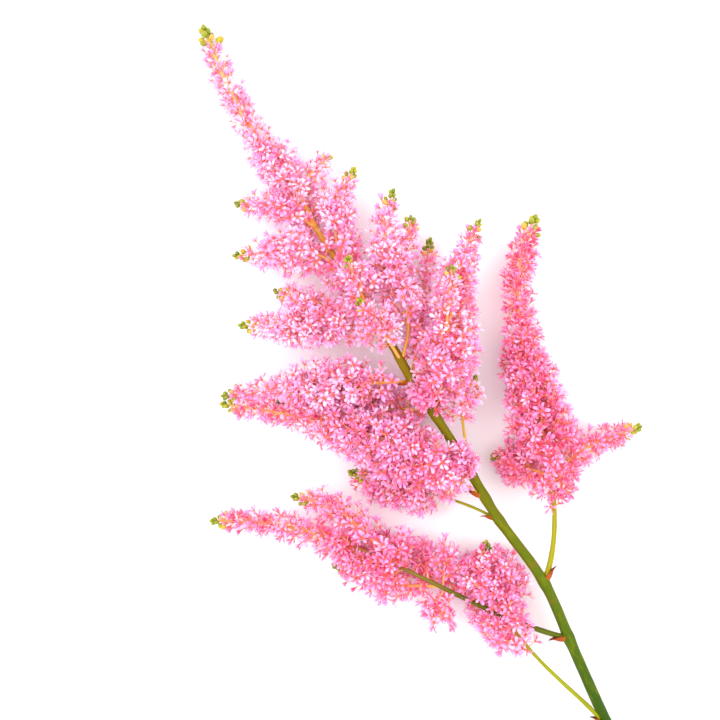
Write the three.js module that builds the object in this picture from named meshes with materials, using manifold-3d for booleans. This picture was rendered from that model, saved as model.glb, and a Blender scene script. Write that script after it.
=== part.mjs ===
// Astilbe: one cut flower stem with all its side branches, lying on a flat surface.
// Units are millimetres and +Z is up. The stem runs along +Y from its cut end to its tip, and the
// surface that the flower lies on is z = 0. Headings are degrees in the plane of that surface:
// 0 is along +Y, and positive turns to the left, towards -X.

import * as THREE from 'three';
import { mergeVertices } from 'three/addons/utils/BufferGeometryUtils.js';
import Module from 'manifold-3d';

const wasm = await Module();
wasm.setup();

// ---------------------------------------------------------------- driving dimensions

const CLEARANCE = 0.3; // gap that keeps neighbouring pieces apart

const STEM_CUT_RADIUS = 2.05; // at the cut end
const STEM_TIP_RADIUS = 0.5; // at the last bud
const STEM_TAPER = 1.9; // above 1 the stem stays thick for longer

const BRANCH_BASE_RADIUS = 0.95; // of a branch of the reference length
const BRANCH_TIP_RADIUS = 0.4;
const BRANCH_REFERENCE_LENGTH = 120; // shorter branches are thinner in proportion
const BRANCH_LEAST_RADIUS = 0.55;

const FLOWER_SPREAD = 1; // scales how far the flowers stand out from every branch
const SPRAY_FLATNESS = 0.8; // a lying branch is lower than it is wide
const SPRAY_OVERHANG = 1.6; // the last buds stand this far past the branch's end
const SPRAY_LOBING = 0.07; // how far the bunches of flowers bulge in and out

const BRACT_LENGTH = 5;
const BRACT_RADIUS = 1;
const BRACT_FLATNESS = 0.6;

const SURFACE_SIZE = 900; // of the block that trims whatever would sink into the surface
const SURFACE_DEPTH = 60;

// The stem bends a little at every joint where a branch grows. Each stretch has its length, its
// heading and the height of the stem's middle above the surface at the stretch's far end.
const STEM_STRETCHES = [
  { length: 45, heading: -5, height: 4 },
  { length: 34, heading: -5.8, height: 8 },
  { length: 22, heading: -6.3, height: 11 },
  { length: 28, heading: 6.4, height: 14 },
  { length: 9, heading: 1.8, height: 15 },
  { length: 11, heading: -0.9, height: 16 },
  { length: 24, heading: 2.3, height: 17.5 },
  { length: 13, heading: 5, height: 18 },
  { length: 8, heading: -4.5, height: 18 },
  { length: 19, heading: 2.6, height: 16.5 },
  { length: 19, heading: 2.8, height: 14 },
  { length: 16, heading: 3.3, height: 11.5 },
  { length: 16, heading: -2.3, height: 8.6 },
  { length: 15, heading: 5.5, height: 6.5 },
  { length: 15, heading: 5.5, height: 4.9 },
  { length: 14, heading: -1.5, height: 4.1 },
  { length: 21, heading: -7.3, height: 3.6 },
];

// The flowers at the top of the stem start at this joint, counted from the cut end.
const TOP_FLOWERS = { name: 'top', joint: 10, width: 10.5, tail: 5.4, shoulder: 0.5 };

// Branches. joint is the stem's joint that the branch grows from. headings are at its base, middle
// and tip, and heights are at its middle and tip. bare is the length with no flowers. width and
// tail are half the breadth of the flowers on the lower part and towards the tip, and shoulder is
// where, as a share of the flowered length, the one gives way to the other. girth makes a branch
// stouter than its length would.
const BRANCHES = [
  { name: 'lowest_left', joint: 1, length: 80, headings: [13, 11, -34], heights: [9.5, 8.5],
    girth: 1.4, bare: 38, width: 13.5, tail: 11, shoulder: 0.75, bract: true },
  { name: 'low_left', joint: 2, length: 133, headings: [45, 35, 66], heights: [12.4, 4.4],
    bare: 27, width: 16, tail: 4.6, shoulder: 0.5, bract: true },
  { name: 'middle_left', joint: 5, length: 98, headings: [25, 41, 55], heights: [18, 7],
    bare: 5, width: 12.5, tail: 4.6, shoulder: 0.52, bract: true },
  { name: 'upper_left', joint: 8, length: 65, headings: [63, 64, 69], heights: [18, 9],
    bare: 4, width: 9.2, tail: 4, shoulder: 0.6, bract: true },
  { name: 'high_left', joint: 10, length: 45, headings: [66, 67, 56], heights: [19, 12],
    bare: 2, width: 10.5, tail: 3.8, shoulder: 0.6 },
  { name: 'high_front', joint: 10, length: 20, headings: [-1, -4, -19], heights: [23, 27],
    bare: 3, width: 8, tail: 4, shoulder: 0.7 },
  { name: 'upper_front', joint: 9, length: 24, headings: [4, 6, 8], heights: [25, 28],
    bare: 6, width: 7.5, tail: 4.5, shoulder: 0.7 },
  { name: 'top_left', joint: 11, length: 39, headings: [11, 61, 61], heights: [15, 10],
    bare: 2, width: 9, tail: 3.8, shoulder: 0.6 },
  { name: 'top_right', joint: 11, length: 36, headings: [-12, -34, -69], heights: [14, 12],
    bare: 2, width: 8.4, tail: 3.6, shoulder: 0.6 },
  { name: 'tip_left', joint: 12, length: 31, headings: [3, 45, 64], heights: [11, 8],
    bare: 2, width: 8, tail: 3.6, shoulder: 0.6 },
  { name: 'tip_right', joint: 13, length: 16, headings: [-66, -74, -80], heights: [10, 9],
    bare: 2, width: 5, tail: 4.4, shoulder: 0.6 },
  { name: 'upper_right', joint: 9, length: 60, headings: [-62, -9, -64], heights: [20, 16],
    bare: 10, width: 8, tail: 4.2, shoulder: 0.65 },
  { name: 'middle_right', joint: 7, length: 68, headings: [-48, -38, -62], heights: [22, 13],
    bare: 1, width: 11.5, tail: 3.8, shoulder: 0.66, bract: true },
  { name: 'low_right', joint: 3, length: 130, headings: [-50, -16, -57], heights: [9.8, 4.8],
    bare: 25, width: 13, tail: 5.2, shoulder: 0.47, bract: true },
  { name: 'middle_left_short', joint: 4, length: 54, headings: [31, 46, 42], heights: [8, 8],
    bare: 19, width: 9, tail: 6.5, shoulder: 0.7, bract: true },
  { name: 'middle_left_back', joint: 7, length: 56, headings: [55, 57, 67], heights: [6, 6],
    bare: 2, width: 8.5, tail: 4, shoulder: 0.6 },
  { name: 'middle_right_small', joint: 6, length: 33, headings: [-32, -21, -80], heights: [15, 15],
    bare: 15, width: 7, tail: 6, shoulder: 0.7 },
  { name: 'upper_right_back', joint: 8, length: 49, headings: [-41, -37, -38], heights: [6, 6],
    bare: 5, width: 5.6, tail: 3.4, shoulder: 0.7 },
];

// Side branches of the branches. start is the distance along the parent branch.
const SIDE_BRANCHES = [
  { name: 'low_left_upper', parent: 'low_left', start: 68, length: 43, headings: [13, 20, 66],
    heights: [12, 8], bare: 2, width: 6, tail: 3.6, shoulder: 0.7 },
  { name: 'low_left_lower', parent: 'low_left', start: 50, length: 37, headings: [66, 50, 36],
    heights: [8, 6], bare: 2, width: 6.5, tail: 4, shoulder: 0.7 },
  { name: 'high_left_upper', parent: 'high_left', start: 6, length: 29, headings: [39, 42, 49],
    heights: [15, 12], bare: 2, width: 5.5, tail: 4, shoulder: 0.6 },
  { name: 'upper_right_side', parent: 'upper_right', start: 24, length: 26, headings: [-34, -36, -43],
    heights: [14, 14], bare: 2, width: 5, tail: 3.4, shoulder: 0.6 },
  { name: 'middle_right_side', parent: 'middle_right', start: 22, length: 29, headings: [-30, -34, -38],
    heights: [25, 24], bare: 3, width: 5.6, tail: 3.4, shoulder: 0.6 },
  { name: 'low_right_inner', parent: 'low_right', start: 38, length: 21, headings: [44, 42, 38],
    heights: [6, 5], bare: 2, width: 8, tail: 6, shoulder: 0.7 },
  { name: 'low_right_outer', parent: 'low_right', start: 37, length: 36, headings: [-65, -94, -100],
    heights: [5, 4], bare: 2, width: 6, tail: 4, shoulder: 0.6 },
];

// ---------------------------------------------------------------- colours

const COLOURS = {
  stem: { color: 0x6b8414, roughness: 0.55 },
  branch: { color: 0xa6a13c, roughness: 0.6 },
  side: { color: 0xe7b070, roughness: 0.6 },
  flowers: { color: 0xf07cb4, roughness: 0.8 },
  bract: { color: 0x8c3b16, roughness: 0.7 },
};

function materialFor(kind) {
  const { color, roughness } = COLOURS[kind];
  return new THREE.MeshStandardMaterial({ color, roughness, metalness: 0 });
}

// ---------------------------------------------------------------- paths

const UP = new THREE.Vector3(0, 0, 1);

// A unit step in the surface's plane along a heading.
function step(heading) {
  const angle = THREE.MathUtils.degToRad(heading);
  return new THREE.Vector3(-Math.sin(angle), Math.cos(angle), 0);
}

// The curve through a base, middle and tip value, at a share t of the way.
function throughThree(base, middle, tip, t) {
  const nearBase = 2 * (t - 0.5) * (t - 1);
  const nearMiddle = 4 * t * (1 - t);
  const nearTip = 2 * t * (t - 0.5);
  return base * nearBase + middle * nearMiddle + tip * nearTip;
}

function stemPath() {
  const points = [new THREE.Vector3(0, 0, STEM_CUT_RADIUS)];
  for (const { length, heading, height } of STEM_STRETCHES) {
    const next = points.at(-1).clone().addScaledVector(step(heading), length);
    next.z = height;
    points.push(next);
  }
  return new THREE.CatmullRomCurve3(points, false, 'centripetal');
}

const PATH_STEPS = 24;

// A branch's path: its heading and height change smoothly from base to tip.
function branchPath(base, { length, headings, heights }) {
  const points = [base.clone()];
  for (let i = 1; i <= PATH_STEPS; i += 1) {
    const heading = throughThree(...headings, (i - 0.5) / PATH_STEPS);
    const next = points.at(-1).clone().addScaledVector(step(heading), length / PATH_STEPS);
    next.z = throughThree(base.z, ...heights, i / PATH_STEPS);
    points.push(next);
  }
  return new THREE.CatmullRomCurve3(points, false, 'centripetal');
}

// The place and the three directions of a path at a distance along it, past its end too.
function frameAt(path, distance) {
  const length = path.getLength();
  const share = THREE.MathUtils.clamp(distance / length, 0, 1);
  const tangent = path.getTangentAt(share).normalize();
  const centre = path.getPointAt(share).addScaledVector(tangent, distance - share * length);
  const side = new THREE.Vector3().crossVectors(tangent, UP).normalize();
  const over = new THREE.Vector3().crossVectors(side, tangent);
  return { centre, tangent, side, over };
}

// ---------------------------------------------------------------- solids

// Bends a turned shape, drawn as radius against distance, onto a path.
function bentLathe(profile, sides, path, flatness = 1, bulge = () => 1) {
  const geometry = new THREE.LatheGeometry(profile, sides);
  const position = geometry.attributes.position;
  for (let i = 0; i < position.count; i += 1) {
    const across = position.getX(i);
    const distance = position.getY(i);
    const above = position.getZ(i);
    const { centre, side, over } = frameAt(path, distance);
    const swell = bulge(Math.atan2(above, across), distance);
    centre.addScaledVector(side, across * swell);
    centre.addScaledVector(over, above * swell * flatness);
    position.setXYZ(i, centre.x, centre.y, centre.z);
  }
  return geometry;
}

// A closed three.js geometry as a solid that can be cut and joined.
function toSolid(geometry) {
  const bare = new THREE.BufferGeometry();
  bare.setAttribute('position', geometry.attributes.position.clone());
  bare.setIndex(geometry.index.clone());
  const merged = mergeVertices(bare, 1e-4);
  const place = (i) => new THREE.Vector3().fromBufferAttribute(merged.attributes.position, i);
  const triangles = [];
  let volume = 0;
  for (let i = 0; i < merged.index.count; i += 3) {
    const corners = [0, 1, 2].map((k) => merged.index.getX(i + k));
    if (new Set(corners).size === 3) {
      triangles.push(corners);
      const [a, b, c] = corners.map(place);
      volume += a.dot(b.cross(c));
    }
  }
  const outward = volume > 0 ? triangles : triangles.map(([a, b, c]) => [a, c, b]);
  return new wasm.Manifold(new wasm.Mesh({
    numProp: 3,
    vertProperties: new Float32Array(merged.attributes.position.array),
    triVerts: new Uint32Array(outward.flat()),
  }));
}

// The biggest piece of a solid that cutting may have parted.
function biggestPiece(solid) {
  const pieces = solid.decompose();
  return pieces.reduce((best, piece) => (piece.volume() > best.volume() ? piece : best));
}

function toMesh(solid, name, kind) {
  const { vertProperties, triVerts } = solid.getMesh();
  const geometry = new THREE.BufferGeometry();
  geometry.setAttribute('position', new THREE.BufferAttribute(vertProperties.slice(), 3));
  geometry.setIndex(new THREE.BufferAttribute(triVerts.slice(), 1));
  geometry.computeVertexNormals();
  const mesh = new THREE.Mesh(geometry, materialFor(kind));
  mesh.name = name;
  return mesh;
}

// ---------------------------------------------------------------- stems and branches

const STEM_SIDES = 10;
const STEM_RING_SPACING = 10;
const BRANCH_SIDES = 6;
const BRANCH_RING_SPACING = 10;

// Radius against distance for a stem that starts and ends in a flat face.
function stemProfile(length, radiusAt, spacing, extra) {
  const rings = Math.max(3, Math.round(length / spacing));
  const profile = [new THREE.Vector2(0, -extra)];
  for (let i = 0; i <= rings; i += 1) {
    const atEnd = i === 0 ? -extra : 0;
    const pastEnd = i === rings ? extra : 0;
    const distance = (length * i) / rings + atEnd + pastEnd;
    profile.push(new THREE.Vector2(radiusAt(i / rings) + extra, distance));
  }
  profile.push(new THREE.Vector2(0, length + extra));
  return profile;
}

// The stem's outline, or the same grown by extra on every side.
function stemSolid(path, radiusAt, sides, spacing, extra = 0) {
  const profile = stemProfile(path.getLength(), radiusAt, spacing, extra);
  return toSolid(bentLathe(profile, sides, path));
}

function mainStemRadius(share) {
  const thinned = share ** STEM_TAPER;
  return STEM_CUT_RADIUS + (STEM_TIP_RADIUS - STEM_CUT_RADIUS) * thinned;
}

function branchRadius({ length, girth = 1 }) {
  const full = (BRANCH_BASE_RADIUS * length) / BRANCH_REFERENCE_LENGTH;
  const base = girth * Math.max(full, BRANCH_LEAST_RADIUS);
  return (share) => base + (BRANCH_TIP_RADIUS - base) * share;
}

// ---------------------------------------------------------------- flower sprays

const SPRAY_SIDES = 10;
const SPRAY_RING_SPACING = 7.5;
const SPRAY_BASE_ROUNDING = 0.16; // share of the flowered length that swells from the base
const SPRAY_FADE = 0.24; // share of the flowered length over which width gives way to tail
const SPRAY_LOBES = 3;
const SPRAY_LOBE_TWIST = 0.22; // radians for each millimetre

// Half the breadth of the flowers at a share of the flowered length.
function sprayRadius({ width, tail, shoulder }, share) {
  const swell = Math.sqrt(Math.min(1, share / SPRAY_BASE_ROUNDING));
  const fade = THREE.MathUtils.smoothstep(share, shoulder - SPRAY_FADE, shoulder + SPRAY_FADE);
  const point = Math.sqrt(Math.min(1, (1 - share) / SPRAY_BASE_ROUNDING));
  return FLOWER_SPREAD * (width + (tail - width) * fade) * swell * point;
}

// The outer shape of the flowers between two distances along a path, grown by extra.
function spraySolid(path, spec, from, to, extra = 0) {
  const length = to - from;
  const rings = Math.max(4, Math.round(length / SPRAY_RING_SPACING));
  const profile = [new THREE.Vector2(0, from - extra)];
  for (let i = 1; i < rings; i += 1) {
    const share = i / rings;
    profile.push(new THREE.Vector2(sprayRadius(spec, share) + extra, from + length * share));
  }
  profile.push(new THREE.Vector2(0, to + extra));
  const bulge = (angle, distance) => (
    1 + SPRAY_LOBING * Math.sin(SPRAY_LOBES * angle + SPRAY_LOBE_TWIST * distance)
  );
  return toSolid(bentLathe(profile, SPRAY_SIDES, path, SPRAY_FLATNESS, bulge));
}

// ---------------------------------------------------------------- bracts

const BRACT_SIDES = 8;
const BRACT_RINGS = 5;

// A small scale leaf that clasps the base of a branch on the side of the stem's cut end, or the
// same grown by extra.
function bractSolid(path, spec, stemRadius, extra = 0) {
  const towardsCut = spec.headings[0] > 0 ? -1 : 1;
  const points = [];
  for (let i = 0; i <= BRACT_RINGS; i += 1) {
    const share = i / BRACT_RINGS;
    const { centre, side } = frameAt(path, stemRadius + CLEARANCE + BRACT_LENGTH * share);
    const away = branchRadius(spec)(0) + CLEARANCE + BRACT_RADIUS * BRACT_FLATNESS * 0.5;
    points.push(centre.addScaledVector(side, towardsCut * away));
  }
  const curve = new THREE.CatmullRomCurve3(points, false, 'centripetal');
  const profile = [new THREE.Vector2(0, -extra)];
  for (let i = 1; i < BRACT_RINGS; i += 1) {
    const share = i / BRACT_RINGS;
    const radius = BRACT_RADIUS * Math.sin(Math.PI * share ** 0.7) + extra;
    profile.push(new THREE.Vector2(radius, curve.getLength() * share));
  }
  profile.push(new THREE.Vector2(0, curve.getLength() + extra));
  return toSolid(bentLathe(profile, BRACT_SIDES, curve, 1 / BRACT_FLATNESS));
}

// ---------------------------------------------------------------- the flower stem

const astilbe = new THREE.Group();
const cutters = []; // every finished piece, grown by the clearance

// Cuts a solid clear of what is already there, keeps its main piece and adds it to the group.
function place(solid, grown, name, kind) {
  let clear = solid;
  for (const cutter of cutters) {
    clear = clear.subtract(cutter);
  }
  cutters.push(grown);
  astilbe.add(toMesh(biggestPiece(clear), name, kind));
}

const surface = new THREE.BoxGeometry(SURFACE_SIZE, SURFACE_SIZE, SURFACE_DEPTH);
surface.translate(0, SURFACE_SIZE / 3, -SURFACE_DEPTH / 2);
cutters.push(toSolid(surface));

// The stem, from its cut end to its last bud.
const stem = stemPath();
const stemPieces = (extra) => stemSolid(stem, mainStemRadius, STEM_SIDES, STEM_RING_SPACING, extra);
place(stemPieces(0), stemPieces(CLEARANCE), 'main_stem', 'stem');

// The distance of each joint along the stem. A catmull-rom curve meets its points at even steps.
const JOINT_STEPS = 40;
const stemLengths = stem.getLengths(STEM_STRETCHES.length * JOINT_STEPS);

function jointDistance(joint) {
  return stemLengths[joint * JOINT_STEPS];
}

// Every branch and side branch, as a thin stem.
const paths = new Map();

function placeBranch(spec, base, kind) {
  const path = branchPath(base, spec);
  paths.set(spec.name, path);
  const pieces = (extra) => stemSolid(
    path, branchRadius(spec), BRANCH_SIDES, BRANCH_RING_SPACING, extra,
  );
  place(pieces(0), pieces(CLEARANCE), `branch_${spec.name}`, kind);
}

for (const spec of BRANCHES) {
  const base = stem.getPoint(spec.joint / STEM_STRETCHES.length);
  placeBranch(spec, base, 'branch');
}
for (const spec of SIDE_BRANCHES) {
  const { centre } = frameAt(paths.get(spec.parent), spec.start);
  placeBranch(spec, centre, 'side');
}

// The scale leaves at the bases of the lower branches.
for (const spec of BRANCHES.filter(({ bract }) => bract)) {
  const stemRadius = mainStemRadius(jointDistance(spec.joint) / stem.getLength());
  const leaf = (extra) => bractSolid(paths.get(spec.name), spec, stemRadius, extra);
  place(leaf(0), leaf(CLEARANCE), `bract_${spec.name}`, 'bract');
}

// The flowers round every branch, and round the top of the stem. A side branch's flowers come
// before its parent's, which close in round them.
function placeFlowers(path, spec, from) {
  const to = path.getLength() + SPRAY_OVERHANG;
  const solid = spraySolid(path, spec, from, to);
  const grown = spraySolid(path, spec, from, to, CLEARANCE);
  place(solid, grown, `flowers_${spec.name}`, 'flowers');
}

for (const spec of [...SIDE_BRANCHES, ...BRANCHES]) {
  placeFlowers(paths.get(spec.name), spec, spec.bare);
}

placeFlowers(stem, TOP_FLOWERS, jointDistance(TOP_FLOWERS.joint));

// The origin is under the middle of the whole flower, on the surface.
const bounds = new THREE.Box3().setFromObject(astilbe);
const middle = bounds.getCenter(new THREE.Vector3());
astilbe.position.set(-middle.x, -middle.y, -bounds.min.z);

export default astilbe;
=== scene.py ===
# %% [markdown]
# # A cut stem of pink astilbe
# An astilbe's flower head is a panicle: a main stem with branches, branches with branchlets, and
# branchlets with hundreds of flowers about 4 mm wide. This stem was cut and laid on a pale
# surface. The lesson grows it in the order in which the plant does: stem, branches, scale leaves,
# branchlets, flowers and buds. Then come the finishes, the light and the camera.
#
# The frame holds one plain solid for each piece, in its right place and size. Each of those solids
# is read here for its middle line or its outer skin, and then gives way to a finer piece.

# %% Load the frame
import math

import bpy
import numpy as np
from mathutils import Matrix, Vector
from mathutils.bvhtree import BVHTree


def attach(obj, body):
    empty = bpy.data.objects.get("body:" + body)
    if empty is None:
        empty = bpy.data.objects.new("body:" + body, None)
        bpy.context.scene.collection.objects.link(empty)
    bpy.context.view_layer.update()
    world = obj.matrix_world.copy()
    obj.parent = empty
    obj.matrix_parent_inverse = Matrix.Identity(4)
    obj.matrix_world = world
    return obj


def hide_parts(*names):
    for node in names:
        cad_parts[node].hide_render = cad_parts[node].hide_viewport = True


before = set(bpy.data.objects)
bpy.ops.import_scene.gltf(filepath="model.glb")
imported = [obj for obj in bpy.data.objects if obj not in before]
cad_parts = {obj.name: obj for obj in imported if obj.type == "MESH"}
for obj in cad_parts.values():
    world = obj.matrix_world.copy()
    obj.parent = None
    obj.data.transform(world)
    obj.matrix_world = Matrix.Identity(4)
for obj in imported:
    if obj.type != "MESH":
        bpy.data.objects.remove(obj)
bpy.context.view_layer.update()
MM = 0.001  # the lesson counts in millimetres, and Blender in metres
plumes = sorted(n[len("flowers_"):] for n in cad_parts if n.startswith("flowers_"))
branches = sorted(n[len("branch_"):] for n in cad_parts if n.startswith("branch_"))
bracts = sorted(n[len("bract_"):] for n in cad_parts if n.startswith("bract_"))
print(len(branches), "branches,", len(plumes), "plumes,", len(bracts), "bracts")

# %% [markdown]
# ## Middle lines
# A stem or branch in the frame is a faceted tube. Cutting it with planes across its length gives a
# row of outlines, and the middles of those outlines are the line that it follows. That line is
# then smoothed, because a living stem has no corners between its facets.

# %% Read a tube's middle line


def solid_of(node):
    """A node's corners in millimetres, and its triangles."""
    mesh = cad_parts[node].data
    mesh.calc_loop_triangles()
    corners = np.empty(len(mesh.vertices) * 3)
    mesh.vertices.foreach_get("co", corners)
    triangles = np.empty(len(mesh.loop_triangles) * 3, dtype=np.int32)
    mesh.loop_triangles.foreach_get("vertices", triangles)
    return corners.reshape(-1, 3) / MM, triangles.reshape(-1, 3)


def unit(vector):
    return vector / np.linalg.norm(vector)


def cut_outlines(corners, triangles, direction, stations):
    """The middle and radius of the outline at each plane across a direction."""
    heights = corners @ direction
    edges = np.concatenate([triangles[:, pair] for pair in ([0, 1], [1, 2], [2, 0])])
    low, high = heights[edges].min(1), heights[edges].max(1)
    middles, radii = [], []
    for station in stations:
        a, b = edges[(low < station) & (high > station)].T
        share = (station - heights[a]) / (heights[b] - heights[a])
        outline = corners[a] + (corners[b] - corners[a]) * share[:, None]
        middle = (outline.min(0) + outline.max(0)) / 2
        middles.append(middle)
        radii.append(np.linalg.norm(outline - middle, axis=1).mean())
    return np.array(middles), np.array(radii)


# %% [markdown]
# Everything that grows is placed by its distance along such a line, so the line is wrapped in an
# object that answers three questions: where is this distance, which way does the line run there,
# and how thick is the tube. Past either end it runs straight on.

# %% Follow a line by distance
HALF_CHORD = 0.6  # millimetres to each side that a direction is measured over


class Path:
    """A smooth line in space, measured in millimetres from its base, with a radius."""

    def __init__(self, points, radii):
        steps = np.linalg.norm(np.diff(points, axis=0), axis=1)
        self.points, self.radii = points, radii
        self.distances = np.concatenate([[0], np.cumsum(steps)])
        self.length = self.distances[-1]

    def between(self, distance):
        return np.array([np.interp(distance, self.distances, c) for c in self.points.T])

    def at(self, distance):
        inside = min(max(distance, 0), self.length)
        return self.between(inside) + self.direction(inside) * (distance - inside)

    def direction(self, distance):
        near = min(max(distance, HALF_CHORD), self.length - HALF_CHORD)
        return unit(self.between(near + HALF_CHORD) - self.between(near - HALF_CHORD))

    def radius(self, distance):
        return float(np.interp(distance, self.distances, self.radii))


def smoothed(values, reach):
    """A running average along a line, with its ends held."""
    padded = np.concatenate([
        2 * values[:1] - values[reach:0:-1], values, 2 * values[-1:] - values[-2:-reach - 2:-1],
    ])
    window = np.hanning(2 * reach + 3)[1:-1]
    window /= window.sum()
    return np.stack([np.convolve(c, window, "valid") for c in padded.T], 1)


# %% [markdown]
# The stem's own line comes first, since all the others start from it. It runs along Y in the
# frame, so planes across Y cut it well.

# %% Read the stem's middle line
SLICE_STEP = 1.0  # millimetres between outlines
SMOOTHING = 6  # outlines to each side that the running average takes in

stem_corners, stem_triangles = solid_of("main_stem")
along_stem = np.array([0.0, 1.0, 0.0])
stem_stations = np.arange(
    stem_corners[:, 1].min() + 0.01, stem_corners[:, 1].max() - 0.01, SLICE_STEP
)
stem_middles, stem_radii = cut_outlines(
    stem_corners, stem_triangles, along_stem, stem_stations
)
stem = Path(smoothed(stem_middles, SMOOTHING), stem_radii)
print(f"stem: {stem.length:.0f} mm, radius {stem.radii[3]:.2f} to {stem.radii[-3]:.2f} mm")

# %% [markdown]
# A branch starts inside the stem, or inside its parent branch. In the frame it stops just short,
# so its line is carried on backwards until it meets the parent's line.

# %% Read the branches' middle lines
PARENTS = {
    "low_left_upper": "low_left",
    "low_left_lower": "low_left",
    "high_left_upper": "high_left",
    "upper_right_side": "upper_right",
    "middle_right_side": "middle_right",
    "low_right_inner": "low_right",
    "low_right_outer": "low_right",
}
CUT_MARGIN = 2.5  # millimetres at the base where the frame's tube is cut at a slant
LONGEST_LEAD = 14.0  # how far back, in millimetres, a parent's line is looked for


def branch_path(name, parent):
    corners, triangles = solid_of(f"branch_{name}")
    gaps = np.linalg.norm(corners[:, None] - parent.points[None], axis=2).min(1)
    base, tip = corners[gaps.argmin()], corners[gaps.argmax()]
    chord = unit((tip - base) * [1, 1, 0])
    heights = corners @ chord
    stations = np.arange(heights.min() + CUT_MARGIN, heights.max() - 0.05, SLICE_STEP)
    middles, radii = cut_outlines(corners, triangles, chord, stations)
    middles = smoothed(middles, min(SMOOTHING, len(middles) - 3))
    back = unit(middles[0] - middles[2])
    reaches = np.arange(0, LONGEST_LEAD, 0.25)
    line = middles[0] + back * reaches[:, None]
    to_parent = np.linalg.norm(line[:, None] - parent.points[None], axis=2)
    nearest = parent.points[to_parent.min(0).argmin()]
    steps = max(3, int(np.linalg.norm(nearest - middles[0])))
    lead = nearest + (middles[0] - nearest) * (np.arange(steps) / steps)[:, None]
    points = smoothed(np.concatenate([lead, middles]), 2)
    return Path(points, np.concatenate([np.full(steps, radii[:5].mean()), radii]))


paths = {}
for name in sorted(branches, key=lambda n: n in PARENTS):
    parent = paths[PARENTS[name]] if name in PARENTS else stem
    paths[name] = branch_path(name, parent)
print("branch lengths, mm:", {n: round(p.length) for n, p in paths.items()})

# %% [markdown]
# ## Gathering a piece
# Every part of this flower is small and repeats thousands of times. Copies of one object would
# all look alike, and thousands of objects would be slow, so each piece is gathered as one mesh.
# Each corner also gets a place on a colour map: across the map runs the distance along the petal
# or stalk, and up the map are rows of tints. A finish then reads its colours from that place, so
# no two neighbouring petals need to have the same pink.

# %% Gather corners and faces
ROWS = 24  # tints on the colour map
ROW_MARGIN = 0.14  # share of a row left free at each side, so that tints don't run together
END_MARGIN = 0.02  # share of the map left free at the ends of every row


def on_map(along, across, row):
    """Places on the colour map for corners at shares along and across, in rows of tints."""
    height = (row + ROW_MARGIN + (1 - 2 * ROW_MARGIN) * across) / ROWS
    return np.stack([END_MARGIN + (1 - 2 * END_MARGIN) * along, height], -1)


class Batch:
    """The corners, faces, places on the colour map and finishes of one piece."""

    def __init__(self):
        self.count = 0
        self.corners, self.places = [], []
        self.face_corners, self.face_sizes, self.face_finishes = [], [], []

    def add(self, corners, places, face_groups, finish=0):
        """face_groups holds one array for the quads and one for the triangles."""
        self.corners.append(corners)
        self.places.append(places)
        for faces in face_groups:
            self.face_corners.append((faces + self.count).ravel())
            self.face_sizes.append(np.full(len(faces), faces.shape[1]))
            self.face_finishes.append(np.full(len(faces), finish))
        self.count += len(corners)

    def triangle_count(self):
        return int((np.concatenate(self.face_sizes) - 2).sum())


# %% [markdown]
# A soft petal that meets the surface lies down on it instead of sinking in. So whatever is lower
# than a certain height is pressed together above the surface. After that the piece is written
# into a mesh in one go, and the solids of the frame that it stands for are hidden.

# %% Turn a batch into a piece
SURFACE_GAP = 0.04  # the lowest that anything lies above the surface
SURFACE_EASE = 0.7  # below this height petals bend and press flat


def rest_on_surface(corners):
    """Presses whatever would sink into the surface flat on top of it."""
    height = corners[:, 2]
    room = SURFACE_EASE - SURFACE_GAP
    pressed = SURFACE_GAP + room * np.exp((np.minimum(height, SURFACE_EASE) - SURFACE_EASE) / room)
    corners[:, 2] = np.where(height < SURFACE_EASE, pressed, height)
    return corners


def make_piece(name, batch, finishes, replaced=()):
    """Turns a batch into a smooth-shaded Blender object that rides on the frame."""
    corners = rest_on_surface(np.concatenate(batch.corners)) * MM
    places = np.concatenate(batch.places)
    face_corners = np.concatenate(batch.face_corners).astype(np.int32)
    sizes = np.concatenate(batch.face_sizes).astype(np.int32)
    starts = np.concatenate([[0], np.cumsum(sizes)[:-1]]).astype(np.int32)
    mesh = bpy.data.meshes.new(name)
    mesh.vertices.add(len(corners))
    mesh.vertices.foreach_set("co", corners.ravel())
    mesh.loops.add(len(face_corners))
    mesh.loops.foreach_set("vertex_index", face_corners)
    mesh.polygons.add(len(sizes))
    mesh.polygons.foreach_set("loop_start", starts)
    mesh.polygons.foreach_set("loop_total", sizes)
    mesh.polygons.foreach_set(
        "material_index", np.concatenate(batch.face_finishes).astype(np.int32)
    )
    colour_map = mesh.uv_layers.new(name="OFBake")
    colour_map.uv.foreach_set("vector", places[face_corners].ravel())
    for finish in finishes:
        mesh.materials.append(finish)
    mesh.update(calc_edges=True)
    mesh.validate()
    mesh.shade_smooth()
    piece = bpy.data.objects.new(name, mesh)
    bpy.context.scene.collection.objects.link(piece)
    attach(piece, "root")
    if replaced:
        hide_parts(*replaced)


# %% [markdown]
# ## Stalks of every size
# From the main stem down to a flower's own stalk, everything is a tapered tube. One helper makes
# them all: it carries a ring of corners along a line, and closes both ends.

# %% Build a tube along a line


def across(direction):
    """Two directions square to a third one, the first level where it can be."""
    up = np.array([0.0, 0.0, 1.0])
    side = np.cross(direction, up)
    if np.linalg.norm(side) < 0.05:
        side = np.cross(direction, [0.0, 1.0, 0.0])
    side = unit(side)
    return side, np.cross(side, direction)


def tube_faces(rings, sides):
    ring, side = np.meshgrid(np.arange(rings - 1), np.arange(sides), indexing="ij")
    here, beside = ring * sides + side, ring * sides + (side + 1) % sides
    quads = np.stack([here, beside, beside + sides, here + sides], -1).reshape(-1, 4)
    first, last = rings * sides, rings * sides + 1
    turn = np.arange(sides)
    after = (turn + 1) % sides
    top = (rings - 1) * sides
    caps = [
        np.stack([after, turn, np.full(sides, first)], -1),
        np.stack([top + turn, top + after, np.full(sides, last)], -1),
    ]
    return quads, np.concatenate(caps)


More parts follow.
